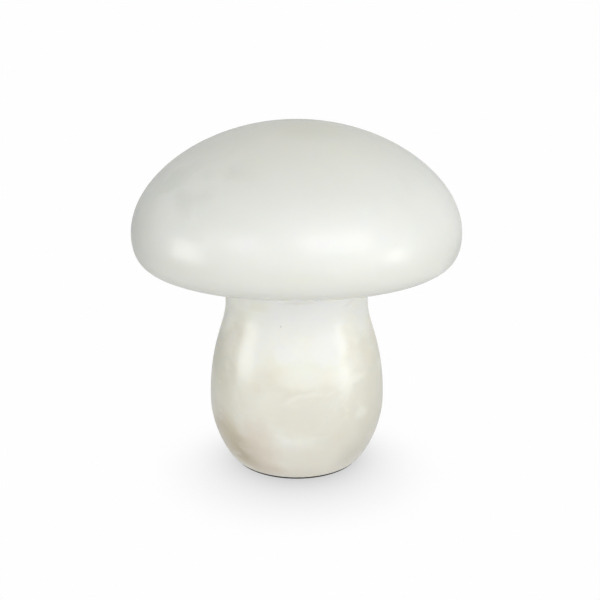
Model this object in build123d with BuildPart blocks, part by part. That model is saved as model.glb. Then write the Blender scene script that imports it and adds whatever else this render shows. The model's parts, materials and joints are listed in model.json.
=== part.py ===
from build123d import *

import os
from math import cos, pi, radians, sin, sqrt, tan

# Cordless mushroom table lamp, turned from two pieces of stone.
# Millimetres. +Z is up, the front is towards -Y, and the origin is the middle of
# the face that the lamp stands on.

# ---------------------------------------------------------------- driving dimensions

# Stone stem
pad_thickness = 1.5
pad_inset = 0.8  # pad edge inside the stone's edge
base_radius = 48.5
belly_radius = 65.7
belly_height = 47.5
neck_radius = 52.8
neck_height = 123.3  # from here up the neck is straight
stem_wall = 9.5  # at the belly
neck_wall = 11.0
base_swell = (4.2, 1.2)  # first handle of the lower side: out and up
belly_handles = (22.0, 44.3)  # below and above the belly
neck_handle = 17.6
opening_radius = 36.0  # way in from below
opening_height = 12.0
plate_ledge = 5.0  # ledge that the base plate bears on

# Stone cap
lamp_height = 255.0
cap_radius = 119.0
cap_widest = 176.5
cap_underside = 151.5
lip_flat_radius = 93.0  # the underside is flat as far out as this
cap_wall = 10.0
crown_flat = 64.5  # handle at the top
crown_drop = 38.7  # handle above the widest circle
lip_drop = 21.0  # handle below the widest circle
lip_roll = 14.0  # handle at the underside
lip_inner_roll = 16.0  # how far the cavity's lower corner is rounded
mouth_clearance = 0.8  # cap mouth round the plate's rim

# Top plate, seat ring, tie tube
ring_thickness = 1.0
ring_gap = 0.4  # ring to the neck's edge
plate_bearing = 4.2  # plate's flange on the neck's end
plate_thickness = 3.0
rim_width = 3.0
rim_height = 5.0
spigot_depth = 4.0
spigot_clearance = 0.4
tube_radius = 5.0
tube_bore = 3.6
tube_fit = 0.05  # tube in a bore or a thread
tube_above_nut = 2.0
nut_flats = 15.0
nut_thickness = 5.0
washer_radius = 9.5
washer_thickness = 1.2
window_width = 3.0  # slot in the tube for the lead
window_length = 20.0
window_rise = 15.0  # over the control board

# Base plate
base_plate_thickness = 3.0
base_plate_clearance = 0.3
boss_radius = 7.8
boss_height = 8.0

# Battery
cell_radius = 9.3
cell_length = 65.2
cell_button_radius = 3.0
cell_button_height = 0.8
cell_offset = 19.5  # each side of the tube
cell_clearance = 0.4
holder_wall = 2.0
holder_floor = 2.5
holder_lintel = 3.0  # bar over the cells
holder_front = -3.0  # the bays are open in front of this
holder_tab_width = 14.0
holder_tab_reach = 20.0
holder_screw_offset = 15.5
contact_thickness = 0.5
contact_size = 11.0
tail_width = 3.0
tail_slot_clearance = 0.3
band_height = 12.0
band_thickness = 1.0
band_gap = 0.3
band_centre = 40.0

# Boards
standoff_height = 6.0
standoff_flats = 5.0
standoff_x = 22.0
standoff_y = 6.5
board_radius = 28.0
board_thickness = 1.6
board_hole_clearance = 0.8
socket_size = (7.0, 5.0, 4.6)
led_board_hole = 11.0
upper_board_radius = 29.0
lower_board_radius = 32.0
led_ring_radius = 24.0
led_count = 16
led_size = (2.8, 3.5, 0.7)
board_screw_ring = 16.0
link_pin_radius = 0.5
link_pin_ring = 19.5
link_pin_pitch = 2.5
link_hole_radius = 2.4

# Diffusers
diffuser_wall = 1.6
dome_radius = 34.0
dome_straight = 8.0
dome_height = 42.0
dome_flange_radius = 42.2
dome_screw_ring = 38.5
dish_radius = 35.0
dish_depth = 12.0
dish_flange_radius = 40.5
dish_screw_ring = 37.9
dish_hole_clearance = 0.6

# Screws: shank radius, head radius, head height, length under the head
screw_large = (1.5, 2.7, 1.8, 5.3)
screw_small = (1.0, 1.8, 1.2, 3.4)
screw_board = (1.25, 2.25, 1.5, 9.0)
screw_led = (1.5, 2.7, 1.6, 4.6)
screw_fit = 0.05
socket_share = 0.5  # of the head, for the hexagon socket

# Rear fittings: a push button over a charging inlet, on one pattern of threaded bush
button_height = 62.0
usb_height = 36.0
bush_radius = 8.0
bush_clearance = 0.3  # in the stone
bush_length = 15.0  # behind the outer flat
flange_radius = 9.3
flange_thickness = 1.6
gasket_thickness = 0.6
flat_clearance = 0.5  # round the flange, in the outer flat
flat_skim = 0.2  # least depth that a flat is cut below the stone's own surface
bush_nut_flats = 19.0
bush_nut_thickness = 2.5
nut_flat_radius = 12.0
button_radius = 5.6
button_fit = 0.08
button_proud = 1.6
button_travel = 1.5
collar_radius = 6.4
collar_depth = 3.0  # bezel's step, behind the outer flat
collar_thickness = 1.5
collar_fit = 0.15
button_pin_radius = 1.5
button_pin_length = 3.0
spring_radius = 4.2
spring_wire = 0.5
spring_turns = 5
pin_spare = 0.5  # pin to switch, with the button pressed home
spring_gap = 0.05
usb_width = 8.94
usb_thickness = 3.26
usb_wall = 0.3
usb_slot_clearance = 0.12
usb_recess = 0.8
usb_depth = 7.0  # the pocket for its board starts here
usb_pocket_radius = 6.6
usb_board_thickness = 1.0
tongue_width = 6.7
tongue_thickness = 0.7
tongue_root = 2.0
tongue_recess = 1.2

# Leads
lead_radius = 1.0
led_lead_radius = 0.9

# ---------------------------------------------------------------- heights and radii

stem_foot = pad_thickness
shoulder = cap_underside - ring_thickness
bore_radius = neck_radius - neck_wall
plate_radius = bore_radius + plate_bearing
mouth_radius = plate_radius + mouth_clearance
plate_top = shoulder + plate_thickness
spigot_face = shoulder - spigot_depth
spigot_radius = bore_radius - spigot_clearance
rebate_radius = opening_radius + plate_ledge
floor_top = stem_foot + base_plate_thickness
tube_top = plate_top + washer_thickness + nut_thickness + tube_above_nut
bay_bottom = floor_top + holder_floor
cell_bottom = bay_bottom + contact_thickness
cell_top = cell_bottom + cell_length
bay_top = cell_top + contact_thickness
holder_top = bay_top + holder_lintel
board_bottom = holder_top + standoff_height
board_top = board_bottom + board_thickness
window_bottom = board_top + window_rise
bay_radius = cell_radius + cell_clearance
holder_radius = bay_radius + holder_wall
upper_board_top = plate_top + board_thickness
lower_board_bottom = spigot_face - board_thickness
spring_length = button_pin_length + button_travel + pin_spare

# ---------------------------------------------------------------- outlines, radius and height

stem_low = [
    (base_radius, stem_foot),
    (base_radius + base_swell[0], stem_foot + base_swell[1]),
    (belly_radius, belly_height - belly_handles[0]),
    (belly_radius, belly_height),
]
stem_high = [
    (belly_radius, belly_height),
    (belly_radius, belly_height + belly_handles[1]),
    (neck_radius, neck_height - neck_handle),
    (neck_radius, neck_height),
]
hollow_radius = belly_radius - stem_wall
hollow_low = [
    (opening_radius, opening_height),
    (opening_radius + base_swell[0], opening_height + base_swell[1]),
    (hollow_radius, belly_height - belly_handles[0] / 2),
    (hollow_radius, belly_height),
]
hollow_high = [
    (hollow_radius, belly_height),
    (hollow_radius, belly_height + belly_handles[1]),
    (bore_radius, neck_height - neck_handle),
    (bore_radius, neck_height),
]


def radii_between(curves, low, high):
    """The radii that an outline passes through between two heights."""
    steps = [i / 100 for i in range(101)]
    points = [Bezier(*curve) @ step for curve in curves for step in steps]
    return [point.X for point in points if low <= point.Y <= high]


def outer_flat(height):
    """Y of a flat, wide enough for the flange, that clears the belly's surface."""
    reach = flange_radius + flat_clearance
    radii = radii_between([stem_low, stem_high], height - reach, height + reach)
    return sqrt(min(radii) ** 2 - reach**2) - flat_skim


def inner_flat(height):
    """Y of a flat, wide enough for the nut, cut into the hollow's surface."""
    radii = radii_between([hollow_low, hollow_high], height - nut_flat_radius, height + nut_flat_radius)
    return max(radii) + flat_skim


button_face = outer_flat(button_height)
usb_face = outer_flat(usb_height)
button_seat = button_face - inner_flat(button_height)  # depth of the nut's flat
usb_seat = usb_face - inner_flat(usb_height)


def rear(face, depth):
    """Plane across the rear axis, a depth inside an outer flat; it faces into the stem."""
    return Plane.XZ.offset(depth - face)


def lead_path(points):
    """Straight runs joined by arcs as large as the runs allow."""
    radii = []
    for before, corner, after in zip(points, points[1:], points[2:]):
        arriving = Vector(corner) - Vector(before)
        leaving = Vector(after) - Vector(corner)
        shorter = min(arriving.length, leaving.length)
        radii.append(0.45 * shorter / tan(radians(arriving.get_angle(leaving) / 2)))
    print("lead bends", [round(radius, 1) for radius in radii])
    return FilletPolyline(*points, radius=radii)


def report_lead(name, lead, radius, path_length):
    """Compare a lead's volume with its section times its length."""
    expected = pi * radius**2 * path_length
    print(name, "length", round(path_length, 1), "volume ratio", round(lead.volume / expected, 4))


def ring_spots(radius, count, start=0):
    """Places evenly round the axis, the first at an angle from +X."""
    turns = [radians(start + 360 * i / count) for i in range(count)]
    return [(radius * cos(turn), radius * sin(turn)) for turn in turns]


def make_screws(name, size, under_head, spots, upwards=False):
    """Socket screws at several spots, as one group; they point down unless told otherwise."""
    shank, head, head_height, length = size
    rise = -1 if upwards else 1
    with BuildPart() as screws:
        with BuildSketch(Plane.XY.offset(under_head)):
            with Locations(*spots):
                Circle(head)
        extrude(amount=rise * head_height)
        with BuildSketch(Plane.XY.offset(under_head + rise * head_height)):
            with Locations(*spots):
                RegularPolygon(head * socket_share, 6)
        extrude(amount=-rise * head_height * socket_share, mode=Mode.SUBTRACT)
        with BuildSketch(Plane.XY.offset(under_head)):
            with Locations(*spots):
                Circle(shank)
        extrude(amount=-rise * length)
    screws.part.label = name
    export_step(screws.part, f"parts/{name}.step")


os.makedirs("parts", exist_ok=True)

# ---------------------------------------------------------------- stone

with BuildPart() as cap:
    with BuildSketch(Plane.XZ):
        with BuildLine():
            Line((mouth_radius, cap_underside), (lip_flat_radius, cap_underside))
            Bezier(
                (lip_flat_radius, cap_underside),
                (lip_flat_radius + lip_roll, cap_underside),
                (cap_radius, cap_widest - lip_drop),
                (cap_radius, cap_widest),
            )
            Bezier(
                (cap_radius, cap_widest),
                (cap_radius, cap_widest + crown_drop),
                (crown_flat, lamp_height),
                (0, lamp_height),
            )
            inner_radius = cap_radius - cap_wall
            inner_top = lamp_height - cap_wall
            inner_scale = inner_radius / cap_radius
            inner_floor = cap_underside + cap_wall
            corner_rise = cap_widest - inner_floor
            Line((0, lamp_height), (0, inner_top))
            Bezier(
                (0, inner_top),
                (crown_flat * inner_scale, inner_top),
                (inner_radius, cap_widest + crown_drop * inner_scale),
                (inner_radius, cap_widest),
            )
            Bezier(
                (inner_radius, cap_widest),
                (inner_radius, cap_widest - corner_rise / 2),
                (inner_radius - lip_inner_roll / 2, inner_floor),
                (inner_radius - lip_inner_roll, inner_floor),
            )
            Line((inner_radius - lip_inner_roll, inner_floor), (mouth_radius, inner_floor))
            Line((mouth_radius, inner_floor), (mouth_radius, cap_underside))
        make_face()
    revolve(axis=Axis.Z)
cap.part.label = "cap"
export_step(cap.part, "parts/cap.step")

with BuildPart() as stem:
    with BuildSketch(Plane.XZ):
        with BuildLine():
            Line((rebate_radius, stem_foot), (base_radius, stem_foot))
            Bezier(*stem_low)
            Bezier(*stem_high)
            Line((neck_radius, neck_height), (neck_radius, shoulder))
            Line((neck_radius, shoulder), (bore_radius, shoulder))
            Line((bore_radius, shoulder), (bore_radius, neck_height))
            Bezier(*reversed(hollow_high))
            Bezier(*reversed(hollow_low))
            Line((opening_radius, opening_height), (opening_radius, floor_top))
            Line((opening_radius, floor_top), (rebate_radius, floor_top))
            Line((rebate_radius, floor_top), (rebate_radius, stem_foot))
        make_face()
    revolve(axis=Axis.Z)
    for face, seat, height in (
        (button_face, button_seat, button_height),
        (usb_face, usb_seat, usb_height),
    ):
        with BuildSketch(rear(face, 0)):
            with Locations((0, height)):
                Circle(flange_radius + flat_clearance)
        extrude(amount=-(belly_radius - face), mode=Mode.SUBTRACT)
        with BuildSketch(rear(face, 0)):
            with Locations((0, height)):
                Circle(bush_radius + bush_clearance)
        extrude(amount=seat, mode=Mode.SUBTRACT)
        with BuildSketch(rear(face, seat)):
            with Locations((0, height)):
                Circle(nut_flat_radius)
        extrude(amount=stem_wall, mode=Mode.SUBTRACT)
stem.part.label = "stem"
export_step(stem.part, "parts/stem.step")

# ---------------------------------------------------------------- foot and clamping parts

with BuildPart() as foot_pad:
    Cylinder(base_radius - pad_inset, pad_thickness, align=(Align.CENTER, Align.CENTER, Align.MIN))
foot_pad.part.label = "foot_pad"
export_step(foot_pad.part, "parts/foot_pad.step")

with BuildPart() as base_plate:
    with BuildSketch(Plane.XY.offset(stem_foot)):
        Circle(rebate_radius - base_plate_clearance)
    extrude(amount=base_plate_thickness)
    with BuildSketch(Plane.XY.offset(floor_top)):
        Circle(boss_radius)
    extrude(amount=boss_height)
    with BuildSketch(Plane.XY.offset(floor_top)):
        Circle(tube_radius + tube_fit)
    extrude(amount=boss_height, mode=Mode.SUBTRACT)
    with BuildSketch(Plane.XY.offset(stem_foot)):
        with Locations((0, holder_screw_offset), (0, -holder_screw_offset)):
            Circle(screw_large[0] + screw_fit)
    extrude(amount=base_plate_thickness, mode=Mode.SUBTRACT)
base_plate.part.label = "base_plate"
export_step(base_plate.part, "parts/base_plate.step")

with BuildPart() as tie_tube:
    with BuildSketch(Plane.XY.offset(floor_top)):
        Circle(tube_radius)
        Circle(tube_bore, mode=Mode.SUBTRACT)
    extrude(amount=tube_top - floor_top)
    with BuildSketch(Plane.YZ):
        with Locations((0, window_bottom + window_length / 2)):
            SlotOverall(window_length, window_width, rotation=90)
    extrude(amount=tube_radius, mode=Mode.SUBTRACT)
    top_rim = tie_tube.faces().sort_by(Axis.Z)[-1].outer_wire().edges()
    chamfer(top_rim, (tube_radius - tube_bore) / 4)
tie_tube.part.label = "tie_tube"
export_step(tie_tube.part, "parts/tie_tube.step")

with BuildPart() as top_plate:
    with BuildSketch(Plane.XY.offset(shoulder)):
        Circle(plate_radius)
    extrude(amount=plate_thickness)
    with BuildSketch(Plane.XY.offset(spigot_face)):
        Circle(spigot_radius)
    extrude(amount=spigot_depth)
    with BuildSketch(Plane.XY.offset(plate_top)):
        Circle(plate_radius)
        Circle(plate_radius - rim_width, mode=Mode.SUBTRACT)
    extrude(amount=rim_height)
    fillet(top_plate.faces().sort_by(Axis.Z)[-1].edges(), rim_width / 4)
    with BuildSketch(Plane.XY.offset(spigot_face)):
        Circle(tube_radius + tube_fit)
        with Locations((0, link_pin_ring)):
            SlotCenterToCenter(link_pin_pitch, 2 * link_hole_radius)
    extrude(amount=spigot_depth + plate_thickness, mode=Mode.SUBTRACT)
    with BuildSketch(Plane.XY.offset(plate_top)):
        with PolarLocations(board_screw_ring, 3, start_angle=60):
            Circle(screw_led[0] + screw_fit)
    extrude(amount=-(screw_led[3] - board_thickness), mode=Mode.SUBTRACT)
    with BuildSketch(Plane.XY.offset(plate_top)):
        with PolarLocations(dome_screw_ring, 3, start_angle=30):
            Circle(screw_small[0] + screw_fit)
    extrude(amount=-(screw_small[3] - diffuser_wall), mode=Mode.SUBTRACT)
    with BuildSketch(Plane.XY.offset(spigot_face)):
        with PolarLocations(board_screw_ring, 3, start_angle=0):
            Circle(screw_led[0] + screw_fit)
    extrude(amount=screw_led[3] - board_thickness, mode=Mode.SUBTRACT)
    with BuildSketch(Plane.XY.offset(spigot_face)):
        with PolarLocations(dish_screw_ring, 3, start_angle=0):
            Circle(screw_small[0] + screw_fit)
    extrude(amount=screw_small[3] - diffuser_wall, mode=Mode.SUBTRACT)
top_plate.part.label = "top_plate"
export_step(top_plate.part, "parts/top_plate.step")

with BuildPart() as seat_ring:
    with BuildSketch(Plane.XY.offset(shoulder)):
        Circle(neck_radius - ring_gap)
        Circle(mouth_radius, mode=Mode.SUBTRACT)
    extrude(amount=ring_thickness)
seat_ring.part.label = "seat_ring"
export_step(seat_ring.part, "parts/seat_ring.step")

with BuildPart() as top_washer:
    with BuildSketch(Plane.XY.offset(plate_top)):
        Circle(washer_radius)
        Circle(tube_radius + tube_fit, mode=Mode.SUBTRACT)
    extrude(amount=washer_thickness)
top_washer.part.label = "top_washer"
export_step(top_washer.part, "parts/top_washer.step")

with BuildPart() as top_nut:
    with BuildSketch(Plane.XY.offset(plate_top + washer_thickness)):
        RegularPolygon(nut_flats / 2, 6, major_radius=False)
        Circle(tube_radius + tube_fit, mode=Mode.SUBTRACT)
    extrude(amount=nut_thickness)
top_nut.part.label = "top_nut"
export_step(top_nut.part, "parts/top_nut.step")

# ---------------------------------------------------------------- battery

with BuildPart() as battery_holder:
    with BuildSketch(Plane.XY.offset(floor_top)):
        SlotCenterToCenter(2 * cell_offset, 2 * holder_radius)
    extrude(amount=holder_top - floor_top)
    with BuildSketch(Plane.XY.offset(bay_bottom)):
        with Locations((-cell_offset, 0), (cell_offset, 0)):
            Circle(bay_radius)
        with Locations((0, holder_front)):
            Rectangle(
                2 * (cell_offset + holder_radius),
                2 * holder_radius,
                align=(Align.CENTER, Align.MAX),
            )
    extrude(amount=bay_top - bay_bottom, mode=Mode.SUBTRACT)
    with BuildSketch(Plane.XY.offset(floor_top)):
        Rectangle(holder_tab_width, 2 * holder_tab_reach)
    extrude(amount=holder_floor)
    with BuildSketch(Plane.XY.offset(floor_top)):
        Circle(boss_radius + cell_clearance)
    extrude(amount=boss_height + cell_clearance, mode=Mode.SUBTRACT)
    with BuildSketch(Plane.XY.offset(floor_top)):
        Circle(tube_radius + cell_clearance)
    extrude(amount=holder_top - floor_top, mode=Mode.SUBTRACT)
    with BuildSketch(Plane.XY.offset(floor_top)):
        with Locations((0, holder_screw_offset), (0, -holder_screw_offset)):
            Circle(screw_large[0] + screw_fit)
    extrude(amount=holder_floor, mode=Mode.SUBTRACT)
    with BuildSketch(Plane.XY.offset(bay_top)):
        with Locations((-cell_offset, 0), (cell_offset, 0)):
            Rectangle(tail_width + 2 * tail_slot_clearance, contact_thickness + 2 * tail_slot_clearance)
    extrude(amount=holder_lintel, mode=Mode.SUBTRACT)
    with BuildSketch(Plane.XY.offset(holder_top)):
        with GridLocations(2 * standoff_x, 2 * standoff_y, 2, 2):
            Circle(screw_board[0] + screw_fit)
    extrude(amount=-(screw_board[3] - board_thickness - standoff_height), mode=Mode.SUBTRACT)
battery_holder.part.label = "battery_holder"
export_step(battery_holder.part, "parts/battery_holder.step")


for side, name in ((-1, "battery_cell_left"), (1, "battery_cell_right")):
    with BuildPart() as battery_cell:
        with BuildSketch(Plane.XY.offset(cell_bottom)):
            with Locations((side * cell_offset, 0)):
                Circle(cell_radius)
        extrude(amount=cell_length - cell_button_height)
        fillet(battery_cell.edges().filter_by(GeomType.CIRCLE), cell_button_height)
        with BuildSketch(Plane.XY.offset(cell_top - cell_button_height)):
            with Locations((side * cell_offset, 0)):
                Circle(cell_button_radius)
        extrude(amount=cell_button_height)
    battery_cell.part.label = name
    export_step(battery_cell.part, f"parts/{name}.step")

with BuildPart() as battery_contacts:
    with BuildSketch(Plane.XY.offset(bay_bottom), Plane.XY.offset(cell_top)):
        with Locations((-cell_offset, 0), (cell_offset, 0)):
            Rectangle(contact_size, contact_size)
    extrude(amount=contact_thickness)
    with BuildSketch(Plane.XY.offset(bay_top)):
        with Locations((-cell_offset, 0), (cell_offset, 0)):
            Rectangle(tail_width, contact_thickness)
    extrude(amount=board_bottom - bay_top)
battery_contacts.part.label = "battery_contacts"
export_step(battery_contacts.part, "parts/battery_contacts.step")

with BuildPart() as battery_band:
    with BuildSketch(Plane.XY.offset(band_centre - band_height / 2)):
        SlotCenterToCenter(2 * cell_offset, 2 * (holder_radius + band_gap + band_thickness))
        SlotCenterToCenter(2 * cell_offset, 2 * (holder_radius + band_gap), mode=Mode.SUBTRACT)
    extrude(amount=band_height)
battery_band.part.label = "battery_band"
export_step(battery_band.part, "parts/battery_band.step")

make_screws(
    "holder_screws",
    screw_large,
    bay_bottom,
    [(0, holder_screw_offset), (0, -holder_screw_offset)],
)

# ---------------------------------------------------------------- control board

standoff_spots = [(x, y) for x in (-standoff_x, standoff_x) for y in (-standoff_y, standoff_y)]
with BuildPart() as board_standoffs:
    with BuildSketch(Plane.XY.offset(holder_top)):
        with Locations(*standoff_spots):
            RegularPolygon(standoff_flats / 2, 6, major_radius=False)
            Circle(screw_board[0] + screw_fit, mode=Mode.SUBTRACT)
    extrude(amount=standoff_height)
board_standoffs.part.label = "board_standoffs"
export_step(board_standoffs.part, "parts/board_standoffs.step")

with BuildPart() as control_board:
    with BuildSketch(Plane.XY.offset(board_bottom)):
        Circle(board_radius)
        Circle(tube_radius + board_hole_clearance, mode=Mode.SUBTRACT)
        with Locations(*standoff_spots):
            Circle(screw_board[0] + screw_fit, mode=Mode.SUBTRACT)
    extrude(amount=board_thickness)
control_board.part.label = "control_board"
export_step(control_board.part, "parts/control_board.step")

make_screws("board_screws", screw_board, board_top, standoff_spots)

# Centre, then width, depth and height of each block on the board
chip_blocks = [
    ((-11.0, -14.0), (7.0, 7.0, 1.2)),
    ((11.0, -15.0), (8.0, 8.0, 4.5)),
    ((0.0, -21.0), (5.0, 4.4, 1.6)),
    ((20.0, 14.0), (4.0, 5.0, 1.4)),
]
can_spots = [(-3.5, -12.5), (3.5, -12.5), (-20.0, 15.0)]
can_radius = 2.6
can_height = 6.0
with BuildPart() as board_chips:
    for centre, (width, depth, height) in chip_blocks:
        with BuildSketch(Plane.XY.offset(board_top)):
            with Locations(centre):
                Rectangle(width, depth)
        extrude(amount=height)
    with BuildSketch(Plane.XY.offset(board_top)):
        with Locations(*can_spots):
            Circle(can_radius)
    extrude(amount=can_height)
board_chips.part.label = "board_chips"
export_step(board_chips.part, "parts/board_chips.step")

# The sockets' outer faces, where the leads go in: two at the rear edge, one facing up
button_socket = (3.0, 21.5)
usb_socket = (-10.0, 20.0)
led_socket = (14.5, 0.0)
socket_width, socket_depth, socket_tall = socket_size
with BuildPart() as board_sockets:
    with BuildSketch(Plane.XY.offset(board_top)):
        with Locations(button_socket, usb_socket):
            Rectangle(socket_width, socket_depth, align=(Align.CENTER, Align.MAX))
        with Locations(led_socket):
            Rectangle(socket_depth, socket_width)
    extrude(amount=socket_tall)
board_sockets.part.label = "board_sockets"
export_step(board_sockets.part, "parts/board_sockets.step")

# ---------------------------------------------------------------- light above and below the plate

link_spots = [(-link_pin_pitch / 2, link_pin_ring), (link_pin_pitch / 2, link_pin_ring)]
pin_hole = link_pin_radius + screw_fit


def make_led_board(name, bottom, radius, screw_angle):
    """Ring board round the tube, with its screw holes and the holes of the link pins."""
    with BuildPart() as led_board:
        with BuildSketch(Plane.XY.offset(bottom)):
            Circle(radius)
            Circle(led_board_hole, mode=Mode.SUBTRACT)
            with PolarLocations(board_screw_ring, 3, start_angle=screw_angle):
                Circle(screw_led[0] + screw_fit, mode=Mode.SUBTRACT)
            with Locations(*link_spots):
                Circle(pin_hole, mode=Mode.SUBTRACT)
        extrude(amount=board_thickness)
    led_board.part.label = name
    export_step(led_board.part, f"parts/{name}.step")


def make_leds(name, face, direction):
    """Ring of light packages that stand on a board's face."""
    across, along, height = led_size
    with BuildPart() as leds:
        with BuildSketch(Plane.XY.offset(face)):
            with PolarLocations(led_ring_radius, led_count):
                Rectangle(across, along)
        extrude(amount=direction * height)
    leds.part.label = name
    export_step(leds.part, f"parts/{name}.step")


make_led_board("upper_led_board", plate_top, upper_board_radius, 60)
make_leds("upper_leds", upper_board_top, 1)
make_screws("upper_board_screws", screw_led, upper_board_top, ring_spots(board_screw_ring, 3, 60))

make_led_board("lower_led_board", lower_board_bottom, lower_board_radius, 0)
make_leds("lower_leds", lower_board_bottom, -1)
make_screws(
    "lower_board_screws",
    screw_led,
    lower_board_bottom,
    ring_spots(board_screw_ring, 3),
    upwards=True,
)

pin_stand = 1.0  # how far a link pin stands out of each board
with BuildPart() as link_pins:
    with BuildSketch(Plane.XY.offset(lower_board_bottom - pin_stand)):
        with Locations(*link_spots):
            Circle(link_pin_radius)
    extrude(amount=upper_board_top - lower_board_bottom + 2 * pin_stand)
link_pins.part.label = "link_pins"
export_step(link_pins.part, "parts/link_pins.step")

dome_shoulder = plate_top + dome_straight
dome_top = plate_top + dome_height
round_handle = 0.5523  # handle of a quarter circle, as a share of its radius
with BuildPart() as upper_diffuser:
    with BuildSketch(Plane.XZ):
        with BuildLine():
            inner = dome_radius - diffuser_wall
            inner_dome_top = dome_top - diffuser_wall
            flange_top = plate_top + diffuser_wall
            Line((inner, plate_top), (dome_flange_radius, plate_top))
            Line((dome_flange_radius, plate_top), (dome_flange_radius, flange_top))
            Line((dome_flange_radius, flange_top), (dome_radius, flange_top))
            Line((dome_radius, flange_top), (dome_radius, dome_shoulder))
            Bezier(
                (dome_radius, dome_shoulder),
                (dome_radius, dome_shoulder + round_handle * (dome_top - dome_shoulder)),
                (round_handle * dome_radius, dome_top),
                (0, dome_top),
            )
            Line((0, dome_top), (0, inner_dome_top))
            Bezier(
                (0, inner_dome_top),
                (round_handle * inner, inner_dome_top),
                (inner, dome_shoulder + round_handle * (inner_dome_top - dome_shoulder)),
                (inner, dome_shoulder),
            )
            Line((inner, dome_shoulder), (inner, plate_top))
        make_face()
    revolve(axis=Axis.Z)
    with BuildSketch(Plane.XY.offset(plate_top)):
        with PolarLocations(dome_screw_ring, 3, start_angle=30):
            Circle(screw_small[0] + screw_fit)
    extrude(amount=diffuser_wall, mode=Mode.SUBTRACT)
upper_diffuser.part.label = "upper_diffuser"
export_step(upper_diffuser.part, "parts/upper_diffuser.step")

make_screws(
    "upper_diffuser_screws",
    screw_small,
    plate_top + diffuser_wall,
    ring_spots(dome_screw_ring, 3, 30),
)

dish_bottom = spigot_face - dish_depth
with BuildPart() as lower_diffuser:
    with BuildSketch(Plane.XY.offset(dish_bottom)):
        Circle(dish_radius)
    extrude(amount=dish_depth)
    fillet(lower_diffuser.edges().sort_by(Axis.Z)[0], dish_depth / 2)
    offset(amount=-diffuser_wall, openings=lower_diffuser.faces().sort_by(Axis.Z)[-1])
    with BuildSketch(Plane.XY.offset(spigot_face)):
        Circle(dish_flange_radius)
        Circle(dish_radius - diffuser_wall, mode=Mode.SUBTRACT)
    extrude(amount=-diffuser_wall)
    with BuildSketch(Plane.XY.offset(dish_bottom)):
        Circle(tube_radius + dish_hole_clearance)
    extrude(amount=diffuser_wall, mode=Mode.SUBTRACT)
    with BuildSketch(Plane.XY.offset(spigot_face)):
        with PolarLocations(dish_screw_ring, 3):
            Circle(screw_small[0] + screw_fit)
    extrude(amount=-diffuser_wall, mode=Mode.SUBTRACT)
lower_diffuser.part.label = "lower_diffuser"
export_step(lower_diffuser.part, "parts/lower_diffuser.step")

make_screws(
    "lower_diffuser_screws",
    screw_small,
    spigot_face - diffuser_wall,
    ring_spots(dish_screw_ring, 3),
    upwards=True,
)

# ---------------------------------------------------------------- rear fittings

flange_back = -gasket_thickness
flange_front = flange_back - flange_thickness
bush_total = bush_length - flange_front


def make_gasket(name, face, height):
    """Flat ring between a bush's flange and the stone."""
    with BuildPart() as gasket:
        with BuildSketch(rear(face, flange_back)):
            with Locations((0, height)):
                Circle(flange_radius)
                Circle(bush_radius, mode=Mode.SUBTRACT)
        extrude(amount=gasket_thickness)
    gasket.part.label = name
    export_step(gasket.part, f"parts/{name}.step")


def make_bush_nut(name, face, seat, height):
    """Hexagon nut that pulls a bush tight from inside the stem."""
    with BuildPart() as nut:
        with BuildSketch(rear(face, seat)):
            with Locations((0, height)):
                RegularPolygon(bush_nut_flats / 2, 6, major_radius=False)
                Circle(bush_radius + tube_fit, mode=Mode.SUBTRACT)
        extrude(amount=bush_nut_thickness)
    nut.part.label = name
    export_step(nut.part, f"parts/{name}.step")


make_gasket("button_gasket", button_face, button_height)
make_bush_nut("button_nut", button_face, button_seat, button_height)
make_gasket("usb_gasket", usb_face, usb_height)
make_bush_nut("usb_nut", usb_face, usb_seat, usb_height)

with BuildPart() as button_bezel:
    with BuildSketch(rear(button_face, flange_back)):
        with Locations((0, button_height)):
            Circle(flange_radius)
    extrude(amount=-flange_thickness)
    fillet(button_bezel.edges().sort_by(Axis.Y)[-1], flange_thickness / 3)
    with BuildSketch(rear(button_face, flange_back)):
        with Locations((0, button_height)):
            Circle(bush_radius)
    extrude(amount=bush_length - flange_back)
    with BuildSketch(rear(button_face, flange_front)):
        with Locations((0, button_height)):
            Circle(button_radius + button_fit)
    extrude(amount=bush_total, mode=Mode.SUBTRACT)
    with BuildSketch(rear(button_face, collar_depth)):
        with Locations((0, button_height)):
            Circle(collar_radius + collar_fit)
    extrude(amount=bush_length - collar_depth, mode=Mode.SUBTRACT)
button_bezel.part.label = "button_bezel"
export_step(button_bezel.part, "parts/button_bezel.step")

collar_back = collar_depth + collar_thickness
with BuildPart() as button_cap:
    with BuildSketch(rear(button_face, flange_front - button_proud)):
        with Locations((0, button_height)):
            Circle(button_radius)
    extrude(amount=collar_back - flange_front + button_proud)
    fillet(button_cap.edges().sort_by(Axis.Y)[-1], button_proud / 3)
    with BuildSketch(rear(button_face, collar_depth)):
        with Locations((0, button_height)):
            Circle(collar_radius)
    extrude(amount=collar_thickness)
    with BuildSketch(rear(button_face, collar_back)):
        with Locations((0, button_height)):
            Circle(button_pin_radius)
    extrude(amount=button_pin_length)
button_cap.part.label = "button_cap"
export_step(button_cap.part, "parts/button_cap.step")

switch_front = collar_back + spring_length
with BuildPart() as button_switch:
    with BuildSketch(rear(button_face, switch_front)):
        with Locations((0, button_height)):
            Circle(collar_radius)
    extrude(amount=bush_length - switch_front)
button_switch.part.label = "button_switch"
export_step(button_switch.part, "parts/button_switch.step")

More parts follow.
